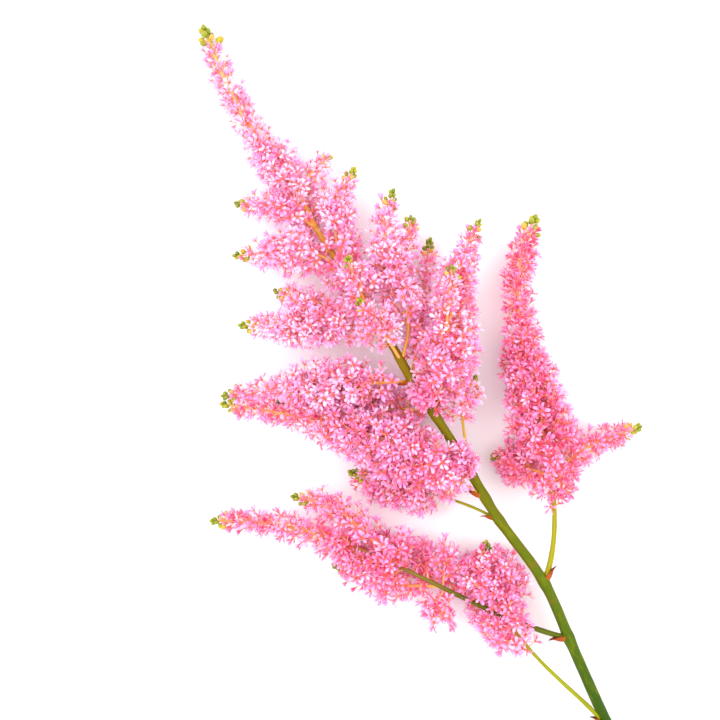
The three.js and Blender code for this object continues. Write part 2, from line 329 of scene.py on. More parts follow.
FACES = {}  # kept for each number of rings and sides, since most tubes share a few


def add_tube(batch, line, radii, sides, row, along=(0.0, 1.0), bulge=None):
    """A closed tube along a line. bulge holds a factor for each ring and side."""
    rings = len(line)
    if (rings, sides) not in FACES:
        FACES[rings, sides] = tube_faces(rings, sides)
    steps = np.gradient(line, axis=0)
    steps /= np.linalg.norm(steps, axis=1)[:, None]
    side, over = across(steps[0])
    turns = 2 * np.pi * np.arange(sides) / sides
    corners = np.empty((rings, sides, 3))
    for i, step in enumerate(steps):
        side = unit(side - step * (side @ step))
        over = np.cross(side, step)
        spokes = np.cos(turns)[:, None] * side + np.sin(turns)[:, None] * over
        size = radii[i] if bulge is None else radii[i] * bulge[i][:, None]
        corners[i] = line[i] + spokes * size
    shares = along[0] + (along[1] - along[0]) * np.linspace(0, 1, rings)
    around = np.abs(2 * np.arange(sides) / sides - 1)  # 1 to 0 and back, with no seam
    places = on_map(shares[:, None] + 0 * around, around + 0 * shares[:, None], row)
    ends = np.stack([line[0], line[-1]])
    end_places = on_map(np.array([shares[0], shares[-1]]), np.array([0.5, 0.5]), row)
    batch.add(
        np.concatenate([corners.reshape(-1, 3), ends]),
        np.concatenate([places.reshape(-1, 2), end_places]),
        FACES[rings, sides],
    )


# %% [markdown]
# ## Finishes
# Petals, stalks, stem and buds all read the same colour map, so the reading is a node group. It
# gives the share along the petal or stalk, the tint, and the share across. Each material adds its
# own colours, its fine veins or streaks, its roughness and its bump.

# %% A group that reads the colour map


def new_group(name, outputs):
    group = bpy.data.node_groups.new(name, "ShaderNodeTree")
    for output in outputs:
        group.interface.new_socket(name=output, in_out="OUTPUT", socket_type="NodeSocketFloat")
    return group, group.nodes, group.links


def feed(links, socket, value):
    """Links another node's output to a socket, or sets the socket to a plain value."""
    if isinstance(value, bpy.types.NodeSocket):
        links.new(value, socket)
    else:
        socket.default_value = value


def math_node(nodes, links, operation, *values):
    node = nodes.new("ShaderNodeMath")
    node.operation = operation
    for socket, value in zip(node.inputs, values):
        feed(links, socket, value)
    return node.outputs[0]


swatches, nodes, links = new_group("Flower swatches", ["Along", "Tint", "Across"])
place = nodes.new("ShaderNodeUVMap")
place.uv_map = "OFBake"
apart = nodes.new("ShaderNodeSeparateXYZ")
links.new(place.outputs[0], apart.inputs[0])
outlet = nodes.new("NodeGroupOutput")
rows_up = math_node(nodes, links, "MULTIPLY", apart.outputs[1], ROWS)
row_number = math_node(nodes, links, "FLOOR", rows_up)
within_row = math_node(nodes, links, "FRACT", rows_up)
links.new(apart.outputs[0], outlet.inputs["Along"])
links.new(math_node(nodes, links, "DIVIDE", row_number, ROWS - 1), outlet.inputs["Tint"])
links.new(within_row, outlet.inputs["Across"])
print("swatch group:", len(nodes), "nodes")

# %% [markdown]
# Colours are written as they look on a screen, from 0 to 255, and turned into the linear values
# that Blender mixes light with.

# %% Helpers for materials


def linear(red, green, blue):
    shares = np.array([red, green, blue]) / 255
    bent = np.where(shares <= 0.04045, shares / 12.92, ((shares + 0.055) / 1.055) ** 2.4)
    return (*bent, 1.0)


class Finish:
    """A material with a Principled shader, and short ways to add nodes to it."""

    def __init__(self, name):
        self.material = bpy.data.materials.new(name)
        self.material.use_nodes = True
        tree = self.material.node_tree
        self.nodes, self.links = tree.nodes, tree.links
        self.shader = next(n for n in self.nodes if n.type == "BSDF_PRINCIPLED")
        self.output = next(n for n in self.nodes if n.type == "OUTPUT_MATERIAL")
        reader = self.nodes.new("ShaderNodeGroup")
        reader.node_tree = swatches
        self.along, self.tint, self.across = reader.outputs

    def math(self, operation, *values):
        return math_node(self.nodes, self.links, operation, *values)

    def ramp(self, value, stops):
        node = self.nodes.new("ShaderNodeValToRGB")
        elements = node.color_ramp.elements
        while len(elements) < len(stops):
            elements.new(0.5)
        for element, (place, colour) in zip(elements, stops):
            element.position = place
            element.color = linear(*colour)
        self.links.new(value, node.inputs[0])
        return node.outputs[0]

    def mask(self, value, low, high, most=1.0):
        """A smooth rise from 0 at one value to the most at another."""
        node = self.nodes.new("ShaderNodeMapRange")
        node.interpolation_type = "SMOOTHSTEP"
        self.links.new(value, node.inputs["Value"])
        node.inputs["From Min"].default_value = low
        node.inputs["From Max"].default_value = high
        node.inputs["To Max"].default_value = most
        return node.outputs[0]

    def mix(self, mask, first, second, blend="MIX"):
        node = self.nodes.new("ShaderNodeMix")
        node.data_type, node.blend_type = "RGBA", blend
        for number, value in ((0, mask), (6, first), (7, second)):
            feed(self.links, node.inputs[number], value)
        return node.outputs[2]

    def noise(self, scales, detail):
        """Noise laid along the piece: scales stretch it along and across the colour map."""
        place = self.nodes.new("ShaderNodeUVMap")
        place.uv_map = "OFBake"
        stretch = self.nodes.new("ShaderNodeMapping")
        stretch.inputs["Scale"].default_value = (*scales, 1)
        node = self.nodes.new("ShaderNodeTexNoise")
        node.inputs["Scale"].default_value = 1
        node.inputs["Detail"].default_value = detail
        self.links.new(place.outputs[0], stretch.inputs[0])
        self.links.new(stretch.outputs[0], node.inputs["Vector"])
        return node.outputs[0]

    def set(self, **values):
        """Fills the Principled shader's sockets, named with _ for each space."""
        for name, value in values.items():
            feed(self.links, self.shader.inputs[name.replace("_", " ")], value)

    def tinge(self, base, colour, value, low, high, most=1.0, blend="MIX"):
        """Lays a colour over another one, more strongly as a value rises."""
        return self.mix(self.mask(value, low, high, most), base, linear(*colour), blend)

    def rising(self, value, rise, least):
        """A number that rises with a pattern, for a roughness that isn't even."""
        return self.math("MULTIPLY_ADD", value, rise, least)

    def bump(self, height, depth):
        node = self.nodes.new("ShaderNodeBump")
        node.inputs["Distance"].default_value = depth * MM
        self.links.new(height, node.inputs["Height"])
        self.links.new(node.outputs[0], self.shader.inputs["Normal"])

    def let_light_through(self, share, colour):
        """Mixes in a Translucent shader, as thin petals glow when lit from behind."""
        glow = self.nodes.new("ShaderNodeBsdfTranslucent")
        mixed = self.nodes.new("ShaderNodeMixShader")
        mixed.inputs[0].default_value = share
        self.links.new(colour, glow.inputs[0])
        self.links.new(self.shader.outputs[0], mixed.inputs[1])
        self.links.new(glow.outputs[0], mixed.inputs[2])
        self.links.new(mixed.outputs[0], self.output.inputs[0])


# %% [markdown]
# A petal is a narrow strap, deeper where it joins the flower, and its rounded end carries a painted
# highlight of pale lilac. Petals pass light, which is what makes a whole plume glow. The tint runs
# from pale lilac pink for the newest flowers to coral for the oldest. Flowers on the outside of a
# plume are also painted paler, as a painted highlight, and those deep inside deeper, as painted
# shade.

# %% The petals' finish
petal = Finish("petal")
petal_body = petal.ramp(petal.tint, [
    (0.0, (255, 234, 255)), (0.2, (255, 200, 244)), (0.45, (255, 164, 222)),
    (0.7, (254, 132, 180)), (0.88, (248, 100, 140)), (1.0, (214, 40, 146)),
])
petal_base = petal.tinge(petal_body, (255, 118, 104), petal.along, 0.5, 0.05)
# painted highlight: the rounded end of every petal is laid over with pale lilac
painted_tip_highlight = petal.tinge(petal_base, (255, 226, 252), petal.along, 0.5, 1.0, 0.5)
VEINS = 4  # on each petal, side by side
veins = petal.math("SINE", petal.math("MULTIPLY", petal.across, 2 * math.pi * VEINS))
vein_mask = petal.mask(veins, 0.2, 1.0, 0.12)
petal_colour = petal.mix(vein_mask, painted_tip_highlight, linear(232, 84, 160))
petal.set(
    Base_Color=petal_colour,
    Roughness=petal.rising(vein_mask, 0.6, 0.46),
    Specular_IOR_Level=0.35,
    Sheen_Weight=0.12,
    Sheen_Roughness=0.4,
)
petal.let_light_through(0.42, petal_colour)

# %% [markdown]
# The heart of a flower is a coral cup with a split ovary and a ring of stamens: fine pale threads
# that each end in a mauve pollen sac. They share one finish. Its rows of tints hold the cup, the
# ovary and the threads, and the last part of a thread turns dark for the sac.

# %% The flower hearts' finish
CUP_ROWS, OVARY_ROWS, THREAD_ROWS = (0, 8), (8, 14), (14, 24)
heart = Finish("flower_heart")
heart_body = heart.ramp(heart.tint, [
    (0.0, (250, 170, 96)), (0.3, (255, 130, 100)), (0.36, (255, 150, 84)),
    (0.56, (248, 84, 66)), (0.62, (255, 190, 226)), (1.0, (252, 140, 200)),
])
is_thread = heart.math("GREATER_THAN", heart.tint, 0.6)
is_end = heart.math("GREATER_THAN", heart.along, 0.86)
sac_colour = heart.ramp(heart.tint, [
    (0.6, (236, 120, 190)), (0.86, (224, 80, 168)), (0.96, (176, 28, 140)),
])
heart_colour = heart.mix(heart.math("MULTIPLY", is_thread, is_end), heart_body, sac_colour)
heart.set(Base_Color=heart_colour, Roughness=0.55, Specular_IOR_Level=0.3)
heart.let_light_through(0.25, heart_colour)

# %% [markdown]
# A stalk's tint says how old its branch is: dark green low on the plant, then yellow-green, then
# ochre and cream near the top. Along its length it fades to the peach of the flower stalks. Fine
# streaks run lengthwise, as the fibres under the skin do.

# %% The stalks' finish
stalk = Finish("stalk_skin")
stalk_young = stalk.ramp(stalk.tint, [
    (0.0, (84, 92, 0)), (0.25, (138, 142, 0)), (0.5, (188, 150, 24)),
    (0.75, (236, 166, 80)), (1.0, (248, 204, 134)),
])
stalk_tip = stalk.ramp(stalk.tint, [
    (0.0, (240, 168, 100)), (0.5, (252, 180, 124)), (1.0, (255, 158, 146)),
])
stalk_blend = stalk.mask(stalk.along, 0.3, 0.75)
stalk_streaks = stalk.noise((14, 160), 4)
stalk_plain = stalk.mix(stalk_blend, stalk_young, stalk_tip)
stalk_colour = stalk.tinge(
    stalk_plain, (150, 96, 40), stalk_streaks, 0.5, 0.72, 0.4, "MULTIPLY"
)
stalk.set(
    Base_Color=stalk_colour,
    Roughness=stalk.rising(stalk_streaks, 0.3, 0.45),
    Specular_IOR_Level=0.2,
    Subsurface_Weight=0.15,
    Subsurface_Radius=(1.0, 0.7, 0.3),
    Subsurface_Scale=0.6 * MM,
)
stalk.bump(stalk_streaks, 0.06)

# %% [markdown]
# The buds are still shut and green. They turn cream and then pink as they swell, so the tint runs
# from green to rose, and each bud is a little redder at its tip.

# %% The buds' finish
bud = Finish("bud_skin")
bud_body = bud.ramp(bud.tint, [
    (0.0, (100, 128, 0)), (0.35, (146, 160, 4)), (0.6, (196, 170, 20)),
    (0.8, (236, 172, 90)), (1.0, (240, 128, 150)),
])
BUD_RIBS = 3
bud_ribs = bud.math("SINE", bud.math("MULTIPLY", bud.across, 2 * math.pi * BUD_RIBS))
bud_blush = bud.tinge(bud_body, (232, 110, 96), bud.along, 0.55, 1.0, 0.3)
bud.set(
    Base_Color=bud.tinge(bud_blush, (96, 120, 10), bud_ribs, 0.3, 1.0, 0.25, "MULTIPLY"),
    Roughness=0.42,
    Specular_IOR_Level=0.45,
    Subsurface_Weight=0.2,
    Subsurface_Radius=(1.0, 0.8, 0.3),
    Subsurface_Scale=0.5 * MM,
)

# %% [markdown]
# ## The main stem
# The stem is round with shallow grooves and swells a little wherever a branch grows out of it.
# The real stem ends in a clean slanting cut with paler pith in the middle; here its cut end is
# simply closed. A lathe would make it straight, so it is a tube along its line instead, with many
# sides, and each ring is scaled for grooves and joints.

# %% The stem's finish
stem_skin = Finish("stem_skin")
stem_age = stem_skin.ramp(stem_skin.along, [
    (0.0, (30, 54, 0)), (0.18, (46, 76, 0)), (0.32, (82, 98, 0)), (0.5, (104, 98, 0)),
    (0.62, (128, 100, 0)), (0.76, (216, 152, 72)), (0.93, (244, 184, 112)),
    (1.0, (160, 180, 20)),
])
fibres = stem_skin.noise((60, 90), 5)
mottling = stem_skin.noise((120, 14), 3)
stem_streaked = stem_skin.tinge(stem_age, (140, 136, 6), fibres, 0.46, 0.7, 0.25)
stem_skin.set(
    Base_Color=stem_skin.tinge(stem_streaked, (122, 84, 30), mottling, 0.56, 0.72, 0.45),
    Roughness=stem_skin.rising(fibres, 0.3, 0.4),
    Specular_IOR_Level=0.12,
    Subsurface_Weight=0.05,
    Subsurface_Radius=(1.0, 0.9, 0.3),
    Subsurface_Scale=0.8 * MM,
)
stem_skin.bump(fibres, 0.12)

# %% [markdown]
# Seven shallow grooves run up the stem and drift slowly round it. Wherever a branch leaves, the
# stem is a little thicker, and that swelling fades over a few millimetres.

# %% Grow the stem
STEM_SIDES = 28
STEM_RING_STEP = 1.5
GROOVES = 7
GROOVE_DEPTH = 0.035
GROOVE_DRIFT = 0.004  # radians for each millimetre of stem
STEM_ROW = 10  # the tint doesn't matter to this finish, which reads only how far along it is
JOINT_SWELL = 0.16
JOINT_REACH = 2.6


def nearest_distance(path, point):
    """How far along a path its nearest point to another one lies."""
    gaps = np.linalg.norm(path.points - point, axis=1)
    return path.distances[gaps.argmin()]


joint_distances = [
    nearest_distance(stem, paths[n].points[0]) for n in branches if n not in PARENTS
]
stem_places = np.append(np.arange(0, stem.length, STEM_RING_STEP), stem.length)
stem_line = np.array([stem.at(d) for d in stem_places])
stem_line[0] = stem_middles[0]
joint_swell = 1 + JOINT_SWELL * sum(
    np.exp(-(((stem_places - d) / JOINT_REACH) ** 2)) for d in joint_distances
).clip(0, 1)
stem_turns = 2 * np.pi * np.arange(STEM_SIDES) / STEM_SIDES
groove_drift = GROOVE_DRIFT * stem_places
groove_wave = np.cos(GROOVES * stem_turns[None] + groove_drift[:, None] * GROOVES)
stem_sizes = np.array([stem.radius(d) for d in stem_places]) * joint_swell
stem_batch = Batch()
groove_bulge = 1 - GROOVE_DEPTH * (1 - groove_wave)
add_tube(stem_batch, stem_line, stem_sizes, STEM_SIDES, STEM_ROW, bulge=groove_bulge)
make_piece("stem", stem_batch, [stem_skin.material], ["main_stem"])

# %% [markdown]
# ## How a plume branches
# A plume is a long raceme. Its branchlets leave the branch in a spiral, each 137.5 degrees round
# from the one below, so that none shades the next. Long branchlets carry smaller ones in the same
# spiral, and the last ones carry flowers. The frame's flower solid is the skin that the plume
# fills: a ray from the branch to that skin says how long a branchlet may grow.

# %% Find the skin that a plume fills
GOLDEN_TURN = math.radians(137.508)
FLOWER_REACH = 1.5  # a flower stands this far past the end of its stalk
BORE_REACH = 2.0  # the solid has a clear bore round the branch, which a ray may cross first
PROBE_STEP = 0.5
PROBE_TURNS = np.arange(6) * math.pi / 3
PROBES_NEEDED = 2


class Skin:
    """The outer skin of one plume's solid, for measuring the room in a direction."""

    def __init__(self, node):
        corners, triangles = solid_of(node)
        self.tree = BVHTree.FromPolygons(corners.tolist(), triangles.tolist())

    def room(self, start, direction):
        """The distance to where a ray leaves the solid, or 0 if it starts well outside it."""
        along, gone = Vector(direction), 0.0
        for _ in range(2):
            place = Vector(start) + along * gone
            hit, normal, _, distance = self.tree.ray_cast(place, along)
            if hit is None:
                return 0.0
            if normal.dot(along) > 0:
                return gone + distance
            if distance > BORE_REACH:
                return 0.0
            gone += distance + 0.01
        return 0.0


def leaning(direction, turn, angle):
    """A direction that leans off another by an angle, turned round it."""
    side, over = across(direction)
    out = math.cos(turn) * side + math.sin(turn) * over
    return math.cos(angle) * direction + math.sin(angle) * out


def flowered_stretch(path, skin):
    """Where along a branch its flower solid begins and ends, found by looking out all round."""
    inside = []
    for distance in np.arange(0, path.length + 1, PROBE_STEP):
        middle, out_by = path.at(distance), path.radius(distance) + PROBE_STEP
        looks = [leaning(path.direction(distance), turn, math.pi / 2) for turn in PROBE_TURNS]
        if sum(skin.room(middle + look * out_by, look) > 0 for look in looks) >= PROBES_NEEDED:
            inside.append(distance)
    return inside[0], inside[-1]


skins = {name: Skin(f"flowers_{name}") for name in plumes}
paths["top"] = stem
stretches = {name: flowered_stretch(paths[name], skins[name]) for name in plumes}
print("flowered from, to, mm:", {n: (round(a), round(b)) for n, (a, b) in stretches.items()})

# %% [markdown]
# ### Twigs and flower stalks
# What belongs to one plume is kept together: the line of its branch, its skin, its own run of
# random numbers, and whatever has grown so far. A twig is a tapered tube that bends over a little
# as it lengthens. Flowers sit along it in a spiral, each on a short stalk of its own.

# %% Grow twigs and flower stalks
FLOWER_STEP = 1.15  # millimetres of twig between two flowers
TWIG_BEND = 0.1  # how far a twig's end bends over, as a share of its length
TWIG_TAPER = 0.6
SHORT_TWIG = 3.0  # a shorter one is made of fewer rings and sides
FLOWER_STALK_RADII = np.array([0.13, 0.11, 0.14])
FLOWER_STALKS = (0.7, 1.2)  # millimetres, from and to
SHORTEST_STALK = 0.2
FLOWER_LEANS = (0.8, 1.25)  # radians off the twig
LOWEST_FLOWER = 0.7  # a flower's foot stays this far above the surface


class Growth:
    """Everything that one plume has grown: its stalks, flowers and buds."""

    def __init__(self, name, seed):
        self.name, self.random = name, np.random.default_rng(seed)
        self.path, self.skin = paths[name], skins[name]
        self.first, self.last = stretches[name]
        self.stalks = Batch()
        self.flowers, self.buds = [], []

    def vary(self, low, high):
        return self.random.uniform(low, high)

    def share(self, distance):
        """How far up the plume a place on its branch lies, from 0 to 1."""
        return (distance - self.first) / max(self.last - self.first, 1)

    def twig(self, start, direction, length, radius, towards, along):
        """A short stalk that bends a little towards a direction. Returns its line's function."""
        bend = TWIG_BEND * length

        def at(share):
            return start + direction * (length * share) + towards * (bend * share * share)

        rings, sides = (3, 4) if length < SHORT_TWIG else (5, 5)
        line = np.array([at(s) for s in np.linspace(0, 1, rings)])
        radii = np.linspace(radius, radius * TWIG_TAPER, rings)
        add_tube(self.stalks, line, radii, sides, self.random.integers(12, ROWS), along)
        return at

    def bloom(self, foot, direction, share, outer):
        """A flower on its own short stalk."""
        end = foot + direction * self.vary(*FLOWER_STALKS)
        end[2] = max(end[2], LOWEST_FLOWER)
        line = np.array([foot, (foot + end) / 2, end])
        if np.linalg.norm(end - foot) < SHORTEST_STALK:
            return
        row = self.random.integers(14, ROWS)
        add_tube(self.stalks, line, FLOWER_STALK_RADII, 4, row, (0.8, 1.0))
        self.flowers.append((end, direction, share, outer))

    def bloom_along(self, at, direction, length, start_share, share, axis_point):
        """Flowers in a spiral along a twig, and one at its end."""
        turn = self.vary(0, 2 * math.pi)
        count = max(0, int(length * (1 - start_share) / FLOWER_STEP))
        for i in range(count):
            foot = at(start_share + (1 - start_share) * (i + self.vary(0.1, 0.5)) / count)
            out = leaning(direction, turn, self.vary(*FLOWER_LEANS))
            self.bloom(foot, out, share, np.linalg.norm(foot - axis_point))
            turn += GOLDEN_TURN
        tip = at(1.0)
        out = leaning(direction, turn, self.vary(0, 0.35))
        self.bloom(tip, out, share, np.linalg.norm(tip - axis_point))


# %% [markdown]
# ### Branchlets
# A branchlet leans off its branch, widely near the plume's foot and closely near its tip, and it
# is as long as the skin allows. Long branchlets carry twigs in a spiral of their own. Between two
# branchlets a single flower often sits right on the branch. One low branch stays bare on top
# for a while, so that its green skin shows.

# %% Grow branchlets
TOP_SIDE = 0.45  # branchlets steeper than this grow on top, where some branches stay bare
LONG_BRANCHLET = 4.6  # from this length on, a branchlet carries twigs
SHORT_BRANCHLET = 0.9  # anything shorter is one flower
SMALLEST_ROOM = 0.7
SECOND_STEP = 1.3  # millimetres of branchlet between two twigs
SECOND_STRETCH = (0.2, 0.82)  # the share of a branchlet that carries them
SECOND_RADIUS = 0.14
LONGEST_SECOND, SHORTEST_SECOND = 5.2, 0.6
LEAN_AT_FOOT, LEAN_LOST = 62, 22  # degrees off the branch at a plume's foot, and lost by its tip
BASE_SPREAD = 50  # degrees by which a plume's lowest branchlets lean further out, or back
BASE_SHARE = 0.09
BRANCHLET_LENGTHS = (0.84, 1.06)  # shares of the room that a branchlet may fill
OFF_AXIS = 0.45  # millimetres outside the branch's skin from where the room is measured


def branchlet_radius(length):
    return 0.16 + 0.016 * length


def grow_branchlet(growth, distance, turn, clear_above):
    share = growth.share(distance)
    centre, axis = growth.path.at(distance), growth.path.direction(distance)
    lean = LEAN_AT_FOOT - LEAN_LOST * share + BASE_SPREAD * math.exp(-share / BASE_SHARE)
    direction = leaning(axis, turn, math.radians(lean + growth.vary(-8, 8)))
    if distance < clear_above and direction[2] > TOP_SIDE:
        return
    own = growth.path.radius(distance) + OFF_AXIS
    room = growth.skin.room(centre + direction * own, direction)
    length = (room - FLOWER_REACH) * growth.vary(*BRANCHLET_LENGTHS)
    if room == 0:
        return
    if length < SHORT_BRANCHLET:
        if room > SMALLEST_ROOM:
            growth.bloom(centre + direction * own * 0.7, direction, share, own)
        return
    foot, radius = centre + direction * own * 0.5, branchlet_radius(length)
    at = growth.twig(foot, direction, length + own * 0.5, radius, axis, (0.45, 0.8))
    if length < LONG_BRANCHLET:
        growth.bloom_along(at, direction, length, 0.3, share, centre)
        return
    second_turn = growth.vary(0, 2 * math.pi)
    first, last = SECOND_STRETCH
    for d in np.arange(first * length, last * length, SECOND_STEP):
        base = at(d / length)
        out = leaning(direction, second_turn, math.radians(growth.vary(44, 62)))
        second_turn += GOLDEN_TURN
        reach = min(0.5 * (length - d) + 1.3, LONGEST_SECOND) * growth.vary(0.8, 1.15)
        reach = min(reach, growth.skin.room(base, out) - FLOWER_REACH * 0.8)
        if reach < SHORTEST_SECOND:
            continue
        second = growth.twig(base, out, reach, SECOND_RADIUS, direction, (0.55, 0.9))
        growth.bloom_along(second, out, reach, 0.35, share, centre)
    growth.bloom_along(at, direction, length, 0.25, share, centre)


def bloom_on_axis(growth, distance, clear_above):
    """A flower on a short stalk of its own, on the branch between two branchlets."""
    axis = growth.path.direction(distance)
    out = leaning(axis, growth.vary(0, 2 * math.pi), growth.vary(0.9, 1.5))
    if distance < clear_above and out[2] > 0:
        return
    own = growth.path.radius(distance)
    foot = growth.path.at(distance) + out * own * 0.8
    if growth.skin.room(foot, out) > FLOWER_REACH:
        growth.bloom(foot, out, growth.share(distance), own)


# %% [markdown]
# ### Flowers in front of the stem
# On two stretches of the stem a plume beside it hangs over it. The frame's solids have to keep
# clear of each other, so they stop beside the stem, and a few branchlets are sent across it here:
# each aims a little above a place on the stem and carries flowers round its end.

# %% Hang branchlets over the stem
OVER_STEM = {  # stretches of the stem that a plume hangs over, in millimetres from the cut end
    "middle_right": (177.5, 184.5), "middle_left": (152.0, 159.0),
}
OVER_STEM_STEP = 0.9
OVER_STEM_FLOWERED = 6.5  # millimetres at the end that carry twigs
STRAIGHT_DOWN = -0.35  # twigs steeper than this would run into the stem
NO_BEND = np.zeros(3)
LOWEST_SHARE = 0.1  # these flowers are as old as the lowest ones of their plume


def reach_over(growth, stem_distance):
    """A branchlet that hangs over the stem, with flowers round it."""
    height = stem.radius(stem_distance) + growth.vary(0.4, 2.2)
    target = stem.at(stem_distance) + np.array([0, 0, height])
    gaps = np.linalg.norm(growth.path.points - target, axis=1)
    foot = growth.path.at(max(growth.path.distances[gaps.argmin()], growth.first))
    length = np.linalg.norm(target - foot) + growth.vary(-0.5, 2.0)
    direction = unit(target - foot)
    at = growth.twig(foot, direction, length, branchlet_radius(length), NO_BEND, (0.45, 0.8))
    second_turn = growth.vary(0, 2 * math.pi)
    first = max(length - OVER_STEM_FLOWERED, SECOND_STRETCH[0] * length)
    for d in np.arange(first, length, SECOND_STEP):
        out = leaning(direction, second_turn, math.radians(growth.vary(44, 70)))
        second_turn += GOLDEN_TURN
        if out[2] < STRAIGHT_DOWN:
            continue
        reach = growth.vary(1.0, 2.2)
        second = growth.twig(at(d / length), out, reach, SECOND_RADIUS, direction, (0.55, 0.9))
        growth.bloom_along(second, out, reach, 0.35, LOWEST_SHARE, foot)
    growth.bloom_along(at, direction, length, 0.5, LOWEST_SHARE, foot)


# %% [markdown]
# ### Buds at the tip
# A plume opens from its foot upwards, so its tip still holds a tight spiral of buds. The older
# ones stand off to the side, and the youngest point straight ahead.

# %% Pack the buds
BUD_STEP = 0.45  # millimetres of branch between two buds
BUD_SPREAD = {"top": 2.4, "low_right": 1.8}  # how far buds stand off a plume's end, if not 1.3
BUD_STALK_RADII = np.array([0.2, 0.18, 0.22])
OLD_BUD_LEAN, BUD_LEAN_LOST = 72, 56  # degrees off the branch, and lost by the youngest bud


def pack_buds(growth, length):
    """Buds in a tight spiral round the plume's end, the youngest at its very tip."""
    path, turn = growth.path, 0.0
    for distance in np.arange(path.length - length, path.length + BUD_STEP / 2, BUD_STEP):
        youth = 1 - (path.length - distance) / length
        lean = math.radians(OLD_BUD_LEAN - BUD_LEAN_LOST * youth)
        out = leaning(path.direction(distance), turn, lean)
        foot = path.at(distance)
        off = growth.vary(0.4, 1.1) * (1.1 - 0.8 * youth) * BUD_SPREAD.get(growth.name, 1.3)
        place = foot + out * (path.radius(distance) + off)
        line, row = np.array([foot, (foot + place) / 2, place]), growth.random.integers(12, 16)
        add_tube(growth.stalks, line, BUD_STALK_RADII, 4, row, (0.5, 0.7))
        growth.buds.append((place, out, youth))
        turn += GOLDEN_TURN


# %% [markdown]
# ### From foot to tip
# Now the parts come together. Branchlets follow each other up the branch a little more closely
# towards its tip, except on the top plume, which opens out there.

# %% Grow from foot to tip
BRANCHLET_STEP = 1.15  # millimetres of branch between two branchlets
STEP_LOST = 0.3  # the share of it that is lost by the tip
AXIS_FLOWER_SHARE = 0.8  # how many branchlets have a short-stalked flower at their foot
LOOSE = {"top": (0.6, 0.8, 0.4)}  # a plume that opens out: from, to, and by how much
BUD_LENGTH = 5.0  # millimetres at a plume's tip that hold only buds
BUD_LENGTH_SHARE = 0.14  # or less, on a short plume


def grow_along(growth, clear_above):
    flowered = growth.last - growth.first
    bud_length = min(BUD_LENGTH, BUD_LENGTH_SHARE * flowered)
    loose_from, loose_to, looser = LOOSE.get(growth.name, (0.5, 1.0, 0.0))
    distance, turn = growth.first + 0.3, growth.vary(0, 2 * math.pi)
    while distance < growth.path.length - bud_length:
        grow_branchlet(growth, distance, turn, clear_above)
        if growth.random.random() < AXIS_FLOWER_SHARE:
            bloom_on_axis(growth, distance, clear_above)
        turn += GOLDEN_TURN + growth.vary(-0.25, 0.25)
        share = (distance - growth.first) / flowered
        opened = np.clip((share - loose_from) / (loose_to - loose_from), 0, 1)
        step = BRANCHLET_STEP * (1 - STEP_LOST * share + looser * opened)
        distance += step * growth.vary(0.8, 1.2)
    for stem_distance in np.arange(*OVER_STEM.get(growth.name, (0, 0)), OVER_STEM_STEP):
        reach_over(growth, stem_distance)
    pack_buds(growth, bud_length)


# %% [markdown]
# ## One flower
# A flower is built once in several forms, from nearly shut to wide open, at the origin and facing
# up. It has five strap petals, a five-toothed cup, a split ovary and a few stamens. A petal is a
# tenth of a millimetre thick, so a single sheet is enough, and light passes through a sheet as it
# does through a petal. Its middle line sinks a little between its edges. Modelled by hand it would
# be one shape, and here each petal of each form draws its own length, lean and twist.

# %% Shape a petal


def turned_by(turn):
    """Turns rows of corners round the upright axis."""
    c, s = math.cos(turn), math.sin(turn)
    return np.array([[c, s, 0], [-s, c, 0], [0, 0, 1]])


PETAL_SHARES = np.array([0.0, 0.3, 0.62, 0.86])  # rings along a petal
PETAL_WIDTHS = np.array([0.12, 0.28, 0.56, 0.52])  # half widths there, in millimetres
PETAL_CUP = 0.3  # how far the edges rise above the middle, as a share of half the width
PETAL_FOOT = (0.22, 0.35)  # where it's attached: millimetres off the axis, and up it


def petal_shape(length, width, lean, curl, twist, turn):
    """Corners, places and faces of one petal. lean is from the flower's axis, in radians."""
    shares = np.append(PETAL_SHARES, 1.0)
    angles = lean + curl * shares**1.5
    steps = np.diff(shares, prepend=0.0) * length
    out = np.cumsum(np.sin(angles) * steps) + PETAL_FOOT[0]
    up = np.cumsum(np.cos(angles) * steps) + PETAL_FOOT[1]
    rings = len(PETAL_SHARES)
    corners = np.empty((rings * 3 + 1, 3))
    for i in range(rings):
        half = PETAL_WIDTHS[i] * width
        roll = twist * shares[i]
        middle = np.array([out[i], 0, up[i]])
        side = np.array([0, math.cos(roll), math.sin(roll)])
        normal = np.array([-math.cos(angles[i]), 0, math.sin(angles[i])])
        normal = unit(normal - side * (normal @ side))
        corners[i * 3] = middle - side * half + normal * PETAL_CUP * half
        corners[i * 3 + 1] = middle
        corners[i * 3 + 2] = middle + side * half + normal * PETAL_CUP * half
    corners[-1] = [out[-1], 0, up[-1]]
    corners = corners @ turned_by(turn)
    along = np.append(np.repeat(PETAL_SHARES, 3), 1.0)
    widths = np.append(np.tile([0.0, 0.5, 1.0], rings), 0.5)
    ring, side = np.meshgrid(np.arange(rings - 1), np.arange(2), indexing="ij")
    here = ring * 3 + side
    quads = np.stack([here, here + 3, here + 4, here + 1], -1).reshape(-1, 4)
    top = (rings - 1) * 3
    tips = np.array([[top, rings * 3, top + 1], [top + 1, rings * 3, top + 2]])
    return corners, along, widths, quads, tips


# %% [markdown]
# Small parts such as threads and cups are turned shapes: a few rings round an axis. The next
# helper makes one from its radii and heights and leans it over.

# %% Shape the small parts of a flower


